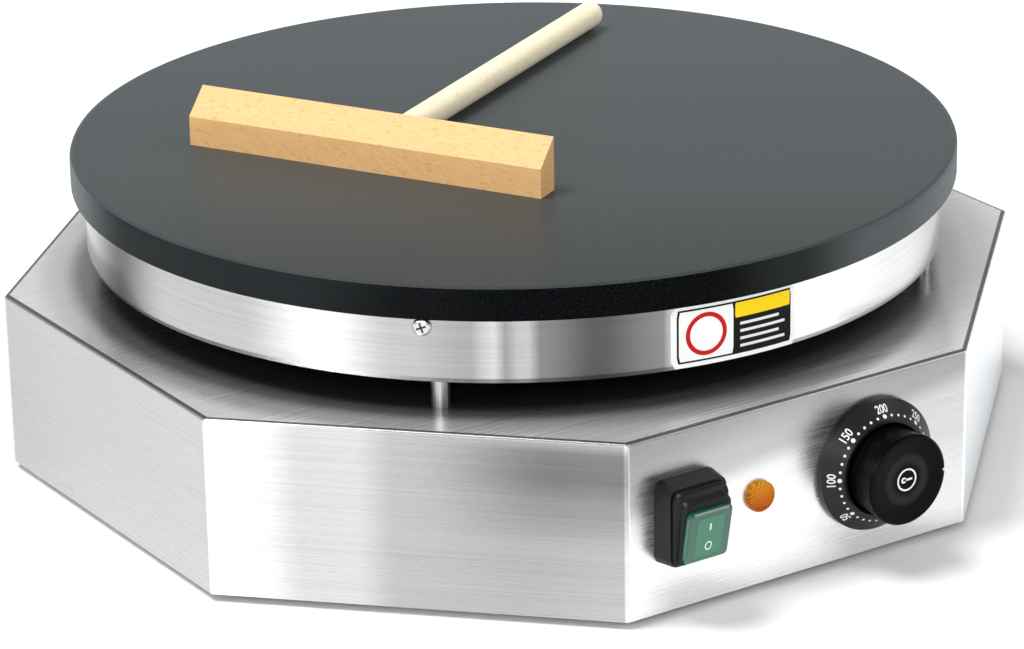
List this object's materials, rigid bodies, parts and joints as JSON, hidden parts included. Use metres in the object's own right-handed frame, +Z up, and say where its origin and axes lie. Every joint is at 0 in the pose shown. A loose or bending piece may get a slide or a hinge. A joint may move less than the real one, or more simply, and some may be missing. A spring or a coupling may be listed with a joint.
{
  "type": "electric crepe maker",
  "caption": "Countertop electric crepe maker: round cast griddle plate raised on posts above an octagonal steel base with dial, lamp and rocker switch, and a wooden batter spreader.",
  "frame": {"origin": "on the table, under the middle of the griddle plate", "axes": "+Z up, the control panel faces -Y, +X to the right of someone facing the panel"},
  "size_m": [0.4312, 0.48, 0.1658],
  "materials": {
    "stainless": "horizontal brushed stainless sheet",
    "plated_steel": "dull zinc-plated steel",
    "screw_steel": "bright plated screws",
    "sheath": "heat-darkened heater sheath",
    "iron": "turned and seasoned cast iron",
    "rubber": "matt black rubber",
    "fibre": "ceramic fibre blanket",
    "black_plastic": "fine-grained black moulding",
    "switch_plastic": "glossy black moulding",
    "green_plastic": "translucent green moulding",
    "amber_plastic": "translucent amber moulding",
    "block_plastic": "off-white terminal moulding",
    "brass": "plain brass",
    "copper": "drawn copper tube",
    "brown_wire": "brown heat-proof sleeve",
    "blue_wire": "blue heat-proof sleeve",
    "earth_wire": "green and yellow sleeve",
    "beech": "sanded bare beech",
    "pale_beech": "sanded bare pale beech"
  },
  "bodies": {
    "base": {"base_cover": "plated_steel", "base_housing": "stainless", "bulb_clips": "plated_steel", "capillary_tube": "copper", "conduit_nut": "plated_steel", "cover_screws": "screw_steel", "dial_ring": "black_plastic", "dial_screws": "screw_steel", "earth_stud": "brass", "feet": "rubber", "fibre_blanket": "fibre", "gland_body": "black_plastic", "gland_cap": "black_plastic", "gland_nut": "black_plastic", "griddle_plate": "iron", "heater_inner": "sheath", "heater_outer": "sheath", "heater_straps": "plated_steel", "lamp_body": "black_plastic", "lamp_lens": "amber_plastic", "lamp_nut": "black_plastic", "lead_earth": "earth_wire", "lead_inner_heater": "blue_wire", "lead_outer_heater": "brown_wire", "lead_supply": "brown_wire", "lead_switched": "brown_wire", "pan_floor": "plated_steel", "post_nuts": "screw_steel", "post_sleeves": "plated_steel", "post_studs": "screw_steel", "skirt_ring": "stainless", "skirt_screws": "screw_steel", "strap_screws": "screw_steel", "switch_body": "switch_plastic", "switch_boot": "rubber", "switch_terminals": "brass", "terminal_block": "block_plastic", "terminal_screws": "brass", "thermostat_body": "black_plastic", "thermostat_bulb": "copper", "wiring_conduit": "plated_steel"},
    "knob": {"knob": "black_plastic", "thermostat_shaft": "plated_steel"},
    "rocker": {"switch_rocker": "green_plastic"},
    "spreader": {"spreader_blade": "beech", "spreader_handle": "pale_beech"}
  },
  "joints": [
    {"name": "knob_turn", "type": "hinge", "parent": "base", "child": "knob", "pos_m": [0.0383, -0.2156, 0.0436], "axis": [0, 1, 0], "range_deg": [-270, 0]},
    {"name": "rocker_tilt", "type": "hinge", "parent": "base", "child": "rocker", "pos_m": [-0.0605, -0.2172, 0.0447], "axis": [1, 0, 0], "range_deg": [-22, 0]},
    {"name": "spreader_lift", "type": "slide", "parent": "base", "child": "spreader", "axis": [0, 0, 1], "range_m": [0, 0.25]}
  ]
}
